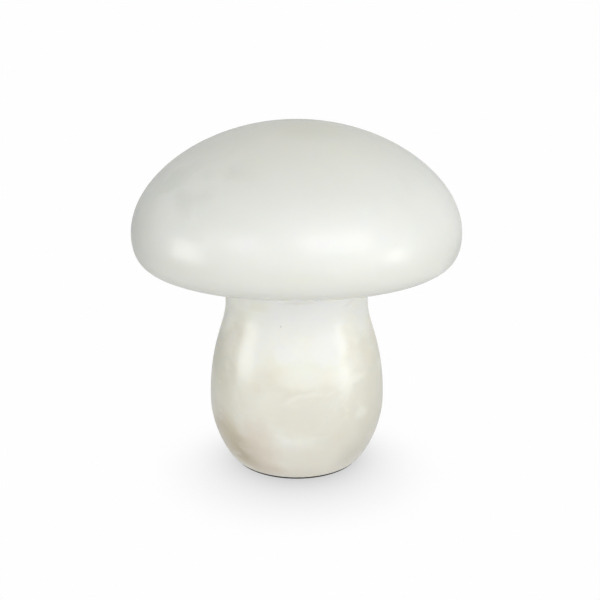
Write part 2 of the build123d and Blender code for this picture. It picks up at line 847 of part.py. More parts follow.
coil_rise = spring_length - spring_wire - 2 * spring_gap
coil_start = button_face - collar_back - spring_wire / 2 - spring_gap
with BuildPart() as button_spring:
    with BuildLine():
        coil = Helix(
            pitch=coil_rise / spring_turns,
            height=coil_rise,
            radius=spring_radius,
            center=(0, coil_start, button_height),
            direction=(0, -1, 0),
        )
    with BuildSketch(Plane(origin=coil @ 0, z_dir=coil % 0)):
        Circle(spring_wire / 2)
    sweep(is_frenet=True)
button_spring.part.label = "button_spring"
export_step(button_spring.part, "parts/button_spring.step")
print("spring gap between turns", round(coil_rise / spring_turns - spring_wire, 2))

shell_front = flange_front + usb_recess
shell_length = usb_depth - shell_front
slot_width = usb_width + 2 * usb_slot_clearance
slot_thickness = usb_thickness + 2 * usb_slot_clearance
with BuildPart() as usb_bezel:
    with BuildSketch(rear(usb_face, flange_back)):
        with Locations((0, usb_height)):
            Circle(flange_radius)
    extrude(amount=-flange_thickness)
    fillet(usb_bezel.edges().sort_by(Axis.Y)[-1], flange_thickness / 3)
    with BuildSketch(rear(usb_face, flange_back)):
        with Locations((0, usb_height)):
            Circle(bush_radius)
    extrude(amount=bush_length - flange_back)
    with BuildSketch(rear(usb_face, flange_front)):
        with Locations((0, usb_height)):
            SlotOverall(slot_width, slot_thickness)
    extrude(amount=bush_total, mode=Mode.SUBTRACT)
    with BuildSketch(rear(usb_face, usb_depth)):
        with Locations((0, usb_height)):
            Circle(usb_pocket_radius)
    extrude(amount=bush_length - usb_depth, mode=Mode.SUBTRACT)
usb_bezel.part.label = "usb_bezel"
export_step(usb_bezel.part, "parts/usb_bezel.step")

with BuildPart() as usb_shell:
    with BuildSketch(rear(usb_face, shell_front)):
        with Locations((0, usb_height)):
            SlotOverall(usb_width, usb_thickness)
            SlotOverall(usb_width - 2 * usb_wall, usb_thickness - 2 * usb_wall, mode=Mode.SUBTRACT)
    extrude(amount=shell_length)
usb_shell.part.label = "usb_shell"
export_step(usb_shell.part, "parts/usb_shell.step")

shell_gap = 2 * (usb_wall + screw_fit)
with BuildPart() as usb_tongue:
    with BuildSketch(rear(usb_face, usb_depth - tongue_root)):
        with Locations((0, usb_height)):
            SlotOverall(usb_width - shell_gap, usb_thickness - shell_gap)
    extrude(amount=tongue_root)
    with BuildSketch(rear(usb_face, shell_front + tongue_recess)):
        with Locations((0, usb_height)):
            Rectangle(tongue_width, tongue_thickness)
    extrude(amount=shell_length - tongue_recess - tongue_root)
usb_tongue.part.label = "usb_tongue"
export_step(usb_tongue.part, "parts/usb_tongue.step")

with BuildPart() as usb_board:
    with BuildSketch(rear(usb_face, usb_depth)):
        with Locations((0, usb_height)):
            Circle(usb_pocket_radius - collar_fit)
    extrude(amount=usb_board_thickness)
usb_board.part.label = "usb_board"
export_step(usb_board.part, "parts/usb_board.step")

# ---------------------------------------------------------------- leads inside the stem

lead_height = board_top + socket_tall / 2
switch_end = button_face - bush_length
usb_end = usb_face - usb_depth - usb_board_thickness
edge_y = board_radius + 6.0  # a lead passes this far out behind the board

button_route = [
    (0, switch_end, button_height),
    (0, switch_end - 7.0, button_height),
    (0, edge_y + 1.0, button_height + 6.5),
    (1.0, edge_y, button_height + 17.0),
    (3.0, edge_y - 4.5, lead_height),
    (button_socket[0], button_socket[1], lead_height),
]
usb_route = [
    (0, usb_end, usb_height),
    (0, usb_end - 14.5, usb_height),
    (-5.5, edge_y + 0.5, usb_height + 6.5),
    (-11.0, edge_y - 0.5, usb_height + 18.0),
    (-12.5, edge_y - 2.0, usb_height + 34.0),
    (-11.0, edge_y - 3.0, lead_height - 4.0),
    (-10.0, edge_y - 7.5, lead_height),
    (usb_socket[0], usb_socket[1], lead_height),
]
led_socket_top = board_top + socket_tall
pad_x = led_board_hole + 2.6
led_route = [
    (led_socket[0], 0, led_socket_top),
    (led_socket[0], 0, led_socket_top + 6.0),
    (led_socket[0] - 6.5, 0, led_socket_top + 13.0),
    (0, 0, window_bottom + 0.6 * window_length),
    (0, 0, tube_top + 2.5),
    (3.3, 0, tube_top + 9.0),
    (pad_x - 3.3, 0, tube_top + 9.0),
    (pad_x, 0, tube_top + 2.5),
    (pad_x, 0, upper_board_top),
]

for name, route, radius in (
    ("button_lead", button_route, lead_radius),
    ("usb_lead", usb_route, lead_radius),
    ("led_lead", led_route, led_lead_radius),
):
    with BuildPart() as lead:
        with BuildLine():
            path = lead_path(route)
        with BuildSketch(Plane(origin=path @ 0, z_dir=path % 0)):
            Circle(radius)
        sweep()
    report_lead(name, lead.part, radius, path.length)
    lead.part.label = name
    export_step(lead.part, f"parts/{name}.step")
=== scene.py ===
"""Looks of the mushroom table lamp: stone, finishes, light, floor and camera round the model.

Metres, in the model's own frame: +Z up, -Y towards the front, origin under the foot pad.
"""

import json
import math

import bmesh
import bpy
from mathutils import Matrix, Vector


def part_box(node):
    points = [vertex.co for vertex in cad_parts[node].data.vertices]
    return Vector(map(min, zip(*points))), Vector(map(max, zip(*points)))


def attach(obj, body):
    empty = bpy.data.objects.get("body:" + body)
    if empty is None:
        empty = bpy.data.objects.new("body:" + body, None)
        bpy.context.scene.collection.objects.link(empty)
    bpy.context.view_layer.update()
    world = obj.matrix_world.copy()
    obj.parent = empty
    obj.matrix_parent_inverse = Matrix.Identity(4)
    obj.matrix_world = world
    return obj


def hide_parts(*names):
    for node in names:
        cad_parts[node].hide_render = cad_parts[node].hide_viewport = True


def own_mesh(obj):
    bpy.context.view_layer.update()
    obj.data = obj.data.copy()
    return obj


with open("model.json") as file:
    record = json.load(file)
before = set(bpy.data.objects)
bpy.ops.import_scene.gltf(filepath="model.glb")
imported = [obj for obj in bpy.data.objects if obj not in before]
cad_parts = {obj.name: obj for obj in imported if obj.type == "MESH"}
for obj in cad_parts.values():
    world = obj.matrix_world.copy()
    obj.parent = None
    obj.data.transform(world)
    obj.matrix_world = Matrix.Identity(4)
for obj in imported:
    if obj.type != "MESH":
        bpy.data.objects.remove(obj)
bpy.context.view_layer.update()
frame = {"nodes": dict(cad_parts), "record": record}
nodes = frame["nodes"]
scene = bpy.context.scene

MM = 0.001

# ---------------------------------------------------------------- camera

FRAME_PX = 600
PX_PER_M = 1342.6  # at the aim point
LAMP_LEFT_PX = 3.3  # the lamp's axis lies this far left of the picture's middle
AIM_HEIGHT = 0.1226
CAMERA_DISTANCE = 0.700
CAMERA_ELEVATION = math.radians(16.65)
SENSOR = 36.0  # mm


def add_camera():
    """Camera in front of the lamp, a little above it and level."""
    aside = LAMP_LEFT_PX / PX_PER_M
    back = Vector((0, -math.cos(CAMERA_ELEVATION), math.sin(CAMERA_ELEVATION)))
    data = bpy.data.cameras.new("camera")
    data.sensor_width = SENSOR
    data.lens = PX_PER_M * CAMERA_DISTANCE / FRAME_PX * SENSOR
    camera = bpy.data.objects.new("camera", data)
    camera.location = Vector((aside, 0, AIM_HEIGHT)) + back * CAMERA_DISTANCE
    camera.rotation_euler = (-back).to_track_quat("-Z", "Y").to_euler()
    scene.collection.objects.link(camera)
    scene.camera = camera


# ---------------------------------------------------------------- node helpers


MIX_FIRST, MIX_SECOND, MIX_RESULT = 6, 7, 2  # colour sockets of the mix node


class Nodes:
    """A node tree, with short calls for the nodes used here."""

    def __init__(self, tree):
        self.tree = tree
        self.tree.nodes.clear()

    def node(self, kind, inputs=None, **options):
        """Add a node, set its options, and set or link its inputs."""
        made = self.tree.nodes.new(kind)
        for key, value in options.items():
            setattr(made, key, value)
        for key, value in (inputs or {}).items():
            self.put(made.inputs[key], value)
        return made

    def put(self, target, value):
        """Set a socket to a number or colour, or link it to another socket."""
        if isinstance(value, bpy.types.NodeSocket):
            self.tree.links.new(value, target)
        else:
            target.default_value = value

    def mapped(self, source, scale=(1, 1, 1), shift=(0, 0, 0), turn=(0, 0, 0), kind="POINT"):
        """Scale, shift and turn a place; as a texture, the other way round."""
        inputs = {"Vector": source, "Scale": scale, "Location": shift, "Rotation": turn}
        return self.node("ShaderNodeMapping", inputs, vector_type=kind).outputs[0]

    def noise(self, vector, scale, detail=4, rough=0.5, distortion=0.0, output="Fac"):
        """Noise with so many features a metre."""
        inputs = {"Vector": vector, "Scale": scale, "Detail": detail}
        inputs.update({"Roughness": rough, "Distortion": distortion})
        return self.node("ShaderNodeTexNoise", inputs).outputs[output]

    def ramp(self, value, low, high, to_low=0.0, to_high=1.0, smooth=True):
        """Map low..high to to_low..to_high, held at the ends."""
        inputs = dict(enumerate((value, low, high, to_low, to_high)))
        kind = "SMOOTHSTEP" if smooth else "LINEAR"
        return self.node("ShaderNodeMapRange", inputs, interpolation_type=kind).outputs[0]

    def math(self, operation, *values):
        """Number from numbers."""
        inputs = dict(enumerate(values))
        return self.node("ShaderNodeMath", inputs, operation=operation).outputs[0]

    def vector(self, operation, *values):
        """Vector from vectors."""
        inputs = dict(enumerate(values))
        return self.node("ShaderNodeVectorMath", inputs, operation=operation).outputs["Vector"]

    def number(self, operation, *values):
        """Number from vectors, such as a length."""
        inputs = dict(enumerate(values))
        return self.node("ShaderNodeVectorMath", inputs, operation=operation).outputs["Value"]

    def part_of(self, vector, letter):
        """One coordinate of a vector."""
        return self.node("ShaderNodeSeparateXYZ", {0: vector}).outputs[letter]

    def mix(self, share, first, second):
        """First tone where the share is 0, second where it is 1."""
        inputs = {"Factor": share, MIX_FIRST: colour(first), MIX_SECOND: colour(second)}
        return self.node("ShaderNodeMix", inputs, data_type="RGBA").outputs[MIX_RESULT]

    def show(self, lit, seen, output):
        """Light the lamp with one shader and show the camera another."""
        to_camera = self.node("ShaderNodeLightPath").outputs["Is Camera Ray"]
        inputs = {0: to_camera, 1: lit.outputs[0], 2: seen.outputs[0]}
        picked = self.node("ShaderNodeMixShader", inputs)
        self.node(output, {"Surface": picked.outputs[0]})


def colour(value):
    """A colour with its alpha, or a socket left as it is."""
    return value if isinstance(value, bpy.types.NodeSocket) else (*value, 1.0)


CLOUDY = (0.35, 0.65)  # part of a noise's range in which one tone or gloss becomes another
SOFTER = (0.3, 0.7)
LEVEL_FACES = (0.4, 0.6)  # how far a face points up or down where it starts to count as level
KEEP_XY = (1, 1, 0)  # drops the height, to measure from an upright axis
KEEP_XZ = (1, 0, 1)  # drops the depth, to measure from an axis that runs from front to rear


class Surface(Nodes):
    """A material with one principled surface, placed by the object's own coordinates."""

    def __init__(self, name):
        self.material = bpy.data.materials.new(name)
        self.material.use_nodes = True
        super().__init__(self.material.node_tree)
        self.bsdf = self.node("ShaderNodeBsdfPrincipled")
        self.node("ShaderNodeOutputMaterial", {"Surface": self.bsdf.outputs[0]})
        self.place = self.node("ShaderNodeTexCoord").outputs["Object"]

    def set(self, **values):
        """Set the surface's own sockets, named with underscores for spaces."""
        for key, value in values.items():
            self.put(self.bsdf.inputs[key.replace("_", " ")], value)

    def bump(self, height, depth):
        """Relief too fine to be a shape."""
        made = self.node("ShaderNodeBump", {"Distance": depth, "Height": height})
        self.put(self.bsdf.inputs["Normal"], made.outputs[0])

    def level(self):
        """1 on faces that lie level and 0 on upright ones."""
        normal = self.node("ShaderNodeNewGeometry").outputs["Normal"]
        return self.ramp(self.math("ABSOLUTE", self.part_of(normal, "Z")), *LEVEL_FACES)

    def away_from(self, *middles, keep):
        """Distance from the nearest of some parallel axes through the given points."""
        nearest = None
        for middle in middles:
            offset = self.vector("SUBTRACT", self.place, middle)
            away = self.number("LENGTH", self.vector("MULTIPLY", offset, keep))
            nearest = away if nearest is None else self.math("MINIMUM", nearest, away)
        return nearest

    def grooves(self, away, pitch):
        """Tool marks that repeat every pitch, deeper in some places than in others."""
        wave = self.math("SINE", self.math("MULTIPLY", away, 2 * math.pi / pitch))
        return self.math("MULTIPLY", wave, self.noise(self.place, scale=300, detail=2))


# ---------------------------------------------------------------- stone

CAP_TONE = (0.812, 0.817, 0.78)
STEM_TONE = (0.815, 0.795, 0.71)

# Clouds all through the stone: how many a metre, where in the noise their rim starts and ends,
# seed, how much flatter than wide, how strong, and tone
STEM_CLOUDS = [
    (8, (0.38, 0.62), 4.0, 1.0, 1.0, (0.905, 0.895, 0.822)),
    (13, (0.50, 0.64), 7.0, 1.0, 0.8, (0.95, 0.945, 0.885)),
    (17, (0.54, 0.72), 2.0, 1.6, 0.6, (0.79, 0.745, 0.64)),
]
STEM_WISPS = [(40, (0.58, 0.74), 5.0, 2.0, 0.25, (0.97, 0.97, 0.93))]
CAP_CLOUDS = [
    (9, (0.42, 0.72), 0.0, 1.0, 1.0, (0.836, 0.842, 0.814)),
    (22, (0.55, 0.75), 3.0, 1.0, 0.5, (0.778, 0.787, 0.744)),
]

# Tones that come in with height: where they start and where they are full in mm, how strong,
# and tone
STEM_FOOT = [((17, 3), 0.5, (0.78, 0.73, 0.63))]
CAP_LIP_SHADE_AND_TOP = [
    # painted shade: darker towards the lip, which faces down
    ((185, 168), 0.7, (0.778, 0.778, 0.73)),
    # yellower towards the top
    ((215, 253), 0.8, (0.792, 0.787, 0.715)),
]
CAP_UNDERSIDE = [((154.5, 152.5), 0.9, (0.93, 0.93, 0.89))]

# Patches of tone, most of them in the stone itself, some painted light and some painted shade as
# marked: middle, half widths along x, y and z in mm, tilt about y in degrees, how strong, and tone
STEM_PATCHES_AND_PAINTED_LIGHT = [
    ((2, -52, 114), (46, 34, 44), 0, 0.95, (0.99, 0.98, 0.885)),  # milky heart of the front, partly the stone's own tone and partly painted light
    ((4, -57, 110), (15, 16, 16), -25, 0.5, (0.945, 0.935, 0.855)),
    ((23, -54, 103), (20, 22, 17), -28, 0.9, (1.0, 0.995, 0.90)),  # bright cloud, firm of rim
    ((23, -54, 103), (17, 22, 14), -28, 0.9, (1.0, 0.995, 0.90)),
    ((-8, -57, 100), (12, 14, 9), 20, 0.7, (0.99, 0.97, 0.91)),
    ((6, -60, 84), (26, 18, 14), 0, 0.7, (0.955, 0.95, 0.875)),
    ((-29, -52, 104), (19, 20, 34), 0, 0.8, (0.965, 0.96, 0.895)),
    ((2, -60, 58), (38, 26, 22), 0, 0.8, (0.83, 0.81, 0.727)),  # duller belly
    ((6, -57, 22), (36, 26, 20), 0, 0.8, (0.85, 0.822, 0.737)),
    ((-61, -26, 62), (32, 50, 60), 0, 0.85, (0.762, 0.748, 0.655)),  # painted shade: darker flanks, where the sides turn away from the light
    ((62, -24, 68), (33, 52, 58), 0, 0.85, (0.772, 0.758, 0.666)),
    ((-41, -43, 29), (32, 32, 24), 30, 0.9, (0.70, 0.64, 0.52)),  # brown clouds low on the left
    ((-27, -54, 43), (21, 18, 15), 10, 0.65, (0.79, 0.73, 0.645)),
    ((-22, -51, 9), (20, 24, 11), 0, 0.75, (0.69, 0.615, 0.51)),
    ((-42, -40, 18), (29, 32, 25), 25, 0.9, (0.51, 0.445, 0.32)),
    ((-25, -54, 26), (24, 18, 22), 10, 0.7, (0.76, 0.695, 0.60)),
    ((-53, -30, 28), (24, 38, 30), 0, 0.85, (0.61, 0.56, 0.44)),
    ((43, -36, 17), (26, 34, 23), 0, 0.85, (0.69, 0.67, 0.59)),  # grey-brown low on the right
    ((54, -30, 34), (20, 38, 28), 0, 0.6, (0.72, 0.695, 0.61)),
    ((-37, -48, 95), (12, 20, 28), 0, 0.7, (0.925, 0.92, 0.86)),
    ((31, -54, 84), (14, 14, 14), 0, 0.7, (0.955, 0.955, 0.89)),
    ((0, -30, 136), (68, 58, 32), 0, 0.9, (1.0, 0.998, 0.92)),  # painted light: whiter neck, against the shade under the cap
    ((-27, -46, 131), (12, 12, 6), 0, 0.55, (0.897, 0.868, 0.762)),  # yellow patch on the neck
    ((3, -52, 137), (17, 12, 2.4), -8, 0.6, (0.868, 0.859, 0.82)),  # grey streaks across it
    ((38, -38, 132), (9, 12, 2.4), -25, 0.6, (0.878, 0.854, 0.811)),
    ((43, -46, 79), (10, 12, 5), -20, 0.45, (0.98, 0.98, 0.92)),  # small clouds on the right
    ((47, -46, 52), (7, 12, 8), 35, 0.5, (0.922, 0.926, 0.859)),
    ((44, -42, 104), (6, 12, 4.5), 30, 0.5, (0.931, 0.931, 0.878)),
    ((52, -36, 92), (8, 12, 11), 0, 0.6, (0.859, 0.82, 0.724)),
]
CAP_PATCHES_AND_PAINTED_LIGHT = [
    ((-108, -34, 177), (42, 66, 36), 0, 0.85, (0.735, 0.745, 0.71)),  # painted shade on the cap's left end
    ((22, -98, 194), (80, 48, 28), 0, 0.75, (0.87, 0.875, 0.86)),  # painted light on the front
    ((9, -26, 253), (36, 36, 17), 0, 0.65, (0.76, 0.752, 0.66)),  # yellow patch near the top, darker there also as painted shade
    ((117, -32, 163), (30, 62, 24), 0, 0.9, (0.655, 0.66, 0.62)),  # painted shade on the low right end
    # painted light on the upper right
    ((98, -44, 204), (44, 60, 28), 0, 0.6, (0.865, 0.87, 0.845)),
    ((-56, -68, 227), (9, 9, 6), 30, 0.6, (0.768, 0.787, 0.744)),  # grey spots on the upper left
    ((-74, -66, 214), (8, 8, 7), 0, 0.5, (0.768, 0.787, 0.744)),
    ((-40, -70, 230), (6, 8, 5), 20, 0.5, (0.768, 0.787, 0.739)),
    ((-62, -86, 206), (14, 14, 10), -20, 0.6, (0.854, 0.864, 0.845)),  # white clouds below them
    ((-30, -108, 190), (17, 16, 10), 0, 0.6, (0.869, 0.869, 0.864)),
    ((0, -116, 172), (16, 10, 5), 10, 0.5, (0.797, 0.797, 0.734)),
]

# Small clouds on the cap's upper left only: where, the clouds, how strong, and tone
MOTTLED = ((-62, -58, 222), (60, 60, 42))
MOTTLES = (30, (0.46, 0.70), 1.0)
MOTTLE_TONE = (0.6, (0.74, 0.757, 0.705))

# The vein's arc across the front: its middle, then for each line the radius, how far it fades
# to either side, the patch that it shows in (all in mm), how strong, and tone
VEIN_MIDDLE = (15.2, -62, 31.7)
VEIN_LINES = [
    (44.1, 2.8, ((2, -63, 71), (17, 18, 12)), 0.28, (0.80, 0.775, 0.67)),  # brown above
    (41.1, 3.2, ((6, -62, 70), (22, 18, 12)), 0.32, (0.965, 0.955, 0.90)),  # pale vein
]

# Small hole in the neck: middle and half widths in mm, how strong, tone, and how many times
# deeper than the turning marks
PIT = ((-10.9, -51.9, 118.6), (0.9, 0.9, 0.7))
PIT_TONE = (0.5, (0.45, 0.42, 0.35))
PIT_DEPTH = 30.0

SOFT_CORE = 0.25  # share of a patch's half width that is at its full tone
FULL_CORE = 0.4
PIT_CORE = 0.3
STRAY = 11 * MM  # how far the rims of clouds and patches stray, end to end
STRAYS_PER_METRE = 50
TURNING_PITCH = 1.1 * MM
TURNING_DEPTH = 0.01 * MM
ALONG_RINGS = (0.03, 0.03, 1.0)  # draws the turning marks out level
SMEARS_PER_METRE = 35
LIGHT_DEPTH = 4 * MM  # how far light wanders in the stone
STONE_IOR = 1.52


def in_metres(sizes):
    return tuple(MM * size for size in sizes)


class Stone(Surface):
    """Polished alabaster: clouds in its depth, placed patches, a vein and a small pit."""

    def __init__(self, name, tone):
        super().__init__(name)
        noise = self.noise(self.place, STRAYS_PER_METRE, rough=0.6, output="Color")
        either_way = self.vector("SUBTRACT", noise, (0.5, 0.5, 0.5))
        stray = self.vector("MULTIPLY", either_way, (STRAY, STRAY, STRAY))
        self.ragged = self.vector("ADD", self.place, stray)
        self.tone = tone

    def cloud(self, scale, rim, seed, flatter=1.0):
        """Ragged clouds all through the stone: 0 between them, 1 inside."""
        spot = self.mapped(self.ragged, (1, 1, flatter), (seed, 0, 0))
        return self.ramp(self.noise(spot, scale, detail=5, rough=0.55, distortion=0.3), *rim)

    def patch(self, middle, size, tilt=0.0, core=SOFT_CORE, place=None):
        """1 in the core of a patch and 0 from its rim on."""
        size, middle = in_metres(size), in_metres(middle)
        turn = (0, math.radians(tilt), 0)
        local = self.mapped(place or self.ragged, size, middle, turn, "TEXTURE")
        return self.ramp(self.number("LENGTH", local), 1.0, core)

    def layer(self, mask, amount, tone):
        """Lay another tone over the stone where the mask says."""
        self.tone = self.mix(self.math("MULTIPLY", mask, amount), self.tone, tone)

    def lay_clouds(self, clouds):
        """Lay every row of a list of clouds, in its order."""
        for scale, rim, seed, flatter, amount, tone in clouds:
            self.layer(self.cloud(scale, rim, seed, flatter), amount, tone)

    def lay_heights(self, heights):
        """Lay every row of a list of tones that come in with height."""
        for between, amount, tone in heights:
            height = self.part_of(self.place, "Z")
            self.layer(self.ramp(height, *in_metres(between)), amount, tone)

    def lay_patches(self, patches):
        """Lay every row of a list of patches, in its order."""
        for middle, size, tilt, amount, tone in patches:
            self.layer(self.patch(middle, size, tilt), amount, tone)

    def lay_vein(self):
        """Lines along an arc that faces the front, each faded out with its patch."""
        for radius, width, within, amount, tone in VEIN_LINES:
            shown = self.patch(*within, core=FULL_CORE)
            offset = self.vector("SUBTRACT", self.ragged, in_metres(VEIN_MIDDLE))
            away = self.number("LENGTH", self.vector("MULTIPLY", offset, KEEP_XZ))
            beside = self.math("ABSOLUTE", self.math("SUBTRACT", away, MM * radius))
            line = self.ramp(beside, MM * width, 0.0)
            self.layer(self.math("MULTIPLY", line, shown), amount, tone)

    def polish(self, gloss, wander):
        """Gloss with faint smears, and light that wanders under the surface."""
        smears = self.noise(self.place, SMEARS_PER_METRE, rough=0.6)
        self.set(
            Base_Color=self.tone,
            Roughness=self.ramp(smears, *CLOUDY, *gloss),
            Subsurface_Weight=1.0,
            Subsurface_Scale=LIGHT_DEPTH,
            Subsurface_Radius=wander,
            IOR=STONE_IOR,
        )

    def turning_marks(self):
        """Faint rings left by the lathe under the polish."""
        rings = self.mapped(self.place, ALONG_RINGS)
        return self.noise(rings, scale=1 / TURNING_PITCH, detail=2, rough=0.4)


def cap_stone():
    """Greyish white, with little drawing, and warmer near the top; painted shade darkens its ends,
    lip and top, and painted light whitens its front and upper right.
    """
    shader = Stone("cap stone", CAP_TONE)
    shader.lay_clouds(CAP_CLOUDS)
    shader.lay_heights(CAP_LIP_SHADE_AND_TOP)
    shader.lay_patches(CAP_PATCHES_AND_PAINTED_LIGHT)
    mottled = shader.patch(*MOTTLED, core=FULL_CORE)
    shader.layer(shader.math("MULTIPLY", shader.cloud(*MOTTLES), mottled), *MOTTLE_TONE)
    shader.lay_heights(CAP_UNDERSIDE)
    shader.polish(gloss=(0.195, 0.24), wander=(1.0, 0.95, 0.8))
    shader.bump(shader.turning_marks(), TURNING_DEPTH)
    return shader.material


def stem_stone():
    """Milky white in front, partly painted light there and on the neck, and browner low down;
    painted shade darkens the flanks.
    """
    shader = Stone("stem stone", STEM_TONE)
    shader.lay_clouds(STEM_CLOUDS)
    shader.lay_patches(STEM_PATCHES_AND_PAINTED_LIGHT)
    shader.lay_heights(STEM_FOOT)
    shader.lay_clouds(STEM_WISPS)
    shader.lay_vein()
    pit = shader.patch(*PIT, core=PIT_CORE, place=shader.place)
    shader.layer(pit, *PIT_TONE)
    shader.polish(gloss=(0.20, 0.25), wander=(1.0, 0.93, 0.75))
    hollow = shader.math("MULTIPLY", pit, PIT_DEPTH)
    shader.bump(shader.math("SUBTRACT", shader.turning_marks(), hollow), TURNING_DEPTH)
    return shader.material


# ---------------------------------------------------------------- finishes of the other pieces


TURNED_PITCH = 0.5 * MM
BRUSHED_PITCH = 0.22 * MM
ALONG_WIRE = (1, 1, 0.05)  # draws the marks of drawn metal out


def middle_of(name):
    """Middle of a node's box."""
    low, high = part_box(name)
    return (low + high) / 2


def metal(name, dull, bright, rough, marks):
    """Bare or plated metal: two tones in soft clouds, uneven gloss and tool marks."""
    shader = Surface(name)
    clouds = shader.noise(shader.place, scale=150, rough=0.6, distortion=0.3)
    smears = shader.noise(shader.place, scale=420, detail=3)
    shader.set(
        Base_Color=shader.mix(shader.ramp(clouds, *CLOUDY), dull, bright),
        Metallic=1.0,
        Roughness=shader.ramp(smears, *CLOUDY, *rough),
    )
    if marks == "turned":
        away = shader.away_from((0, 0, 0), keep=KEEP_XY)
        shader.bump(shader.grooves(away, TURNED_PITCH), depth=0.02 * MM)
    elif marks == "brushed round":
        away = shader.away_from(middle_of("button_cap"), middle_of("usb_shell"), keep=KEEP_XZ)
        shader.bump(shader.grooves(away, BRUSHED_PITCH), depth=0.015 * MM)
    elif marks == "drawn":
        lines = shader.mapped(shader.place, ALONG_WIRE)
        shader.bump(shader.noise(lines, scale=6000, detail=2), depth=0.01 * MM)
    else:
        shader.bump(shader.noise(shader.place, scale=4000, detail=3, rough=0.6), depth=0.01 * MM)
    return shader.material


def moulded(name, dark, pale, rough, grain=2000, depth=0.01 * MM, **values):
    """Plastic or rubber: two close tones, fine grain, and gloss that varies a little."""
    shader = Surface(name)
    clouds = shader.noise(shader.place, scale=90, rough=0.55, distortion=0.4)
    smears = shader.noise(shader.place, scale=260, detail=3)
    shader.set(
        Base_Color=shader.mix(shader.ramp(clouds, *CLOUDY), dark, pale),
        Roughness=shader.ramp(smears, *CLOUDY, *rough),
        **values,
    )
    shader.bump(shader.noise(shader.place, scale=grain, rough=0.6), depth)
    return shader.material


TRACKS_PER_METRE = 420
TRACK_SPREAD = 0.85  # how unevenly they lie: 0 is a grid
TRACK_EDGE = (0.10, 0.06)  # distance from a track's middle line, as a share of its cell
TRACK_STRENGTH = 0.55  # through the solder mask


def circuit_board(name, mask, copper, edge):
    """Solder mask over faint tracks, with the bare laminate on the rim."""
    shader = Surface(name)
    inputs = {"Vector": shader.place, "Scale": TRACKS_PER_METRE, "Randomness": TRACK_SPREAD}
    options = {"feature": "DISTANCE_TO_EDGE", "voronoi_dimensions": "2D"}
    cells = shader.node("ShaderNodeTexVoronoi", inputs, **options)
    track = shader.ramp(cells.outputs["Distance"], *TRACK_EDGE)
    face = shader.mix(shader.math("MULTIPLY", track, TRACK_STRENGTH), mask, copper)
    haze = shader.noise(shader.place, scale=700, detail=3)
    shader.set(
        Base_Color=shader.mix(shader.level(), edge, face),
        Roughness=shader.ramp(haze, *CLOUDY, 0.25, 0.38),
    )
    shader.bump(track, depth=0.03 * MM)
    return shader.material


def led_package():
    """White package with the yellow phosphor in its face."""
    shader = Surface("led phosphor")
    speckle = shader.noise(shader.place, scale=9000, detail=2)
    phosphor = shader.mix(shader.ramp(speckle, *CLOUDY), (0.86, 0.64, 0.16), (0.94, 0.78, 0.32))
    shader.set(
        Base_Color=shader.mix(shader.level(), (0.86, 0.86, 0.83), phosphor),
        Roughness=shader.ramp(speckle, *SOFTER, 0.28, 0.42),
        Coat_Weight=0.3,
    )
    shader.bump(speckle, depth=0.01 * MM)
    return shader.material


SLEEVE_RIM = (7.6 * MM, 7.2 * MM)  # from the cell's axis: where the sleeve gives way to the can
SLEEVE_END = (0.4 * MM, 0.2 * MM)  # from the cell's end: where its face starts
UP_THE_CELL = (1, 1, 0.25)  # draws the sleeve's wrinkles out


def shrink_sleeve():
    """Cells in a shrunk sleeve with the bare can at both ends."""
    shader = Surface("cell sleeve")
    right = middle_of("battery_cell_right")
    left = middle_of("battery_cell_left")
    half_height = right.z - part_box("battery_cell_right")[0].z
    inside = shader.ramp(shader.away_from(right, left, keep=KEEP_XY), *SLEEVE_RIM)
    height = shader.part_of(shader.place, "Z")
    from_middle = shader.math("ABSOLUTE", shader.math("SUBTRACT", height, right.z))
    end = shader.ramp(from_middle, *(half_height - gap for gap in SLEEVE_END))
    bare = shader.math("MULTIPLY", inside, end)
    drawn = shader.mapped(shader.place, UP_THE_CELL)
    wrinkles = shader.noise(drawn, scale=900, detail=3, rough=0.55)
    sleeve = shader.mix(shader.ramp(wrinkles, *SOFTER), (0.08, 0.22, 0.28), (0.12, 0.30, 0.36))
    shader.set(
        Base_Color=shader.mix(bare, sleeve, (0.66, 0.65, 0.62)),
        Metallic=bare,
        Roughness=shader.ramp(wrinkles, *SOFTER, 0.2, 0.34),
    )
    shader.bump(wrinkles, depth=0.04 * MM)
    return shader.material


THREADS_PER_METRE = 1100
THREAD_HEIGHT = 0.5  # beside the fuzz
THREAD_TONES = (0.3, 1.1)  # height at which the tone starts to pale, and is palest


def woven_band():
    """Hook band: short threads over and under each other, with a slight sheen."""
    shader = Surface("band fabric")
    inputs = {"Vector": shader.place, "Scale": THREADS_PER_METRE}
    weave = shader.node("ShaderNodeTexChecker", inputs)
    threads = shader.math("MULTIPLY", weave.outputs["Fac"], THREAD_HEIGHT)
    fuzz = shader.noise(shader.place, scale=3500, rough=0.65)
    height = shader.math("ADD", threads, fuzz)
    tones = shader.ramp(height, *THREAD_TONES)
    shader.set(
        Base_Color=shader.mix(tones, (0.02, 0.02, 0.02), (0.08, 0.08, 0.08)),
        Roughness=shader.ramp(fuzz, *SOFTER, 0.8, 0.95),
        Sheen_Weight=0.35,
    )
    shader.bump(height, depth=0.1 * MM)
    return shader.material


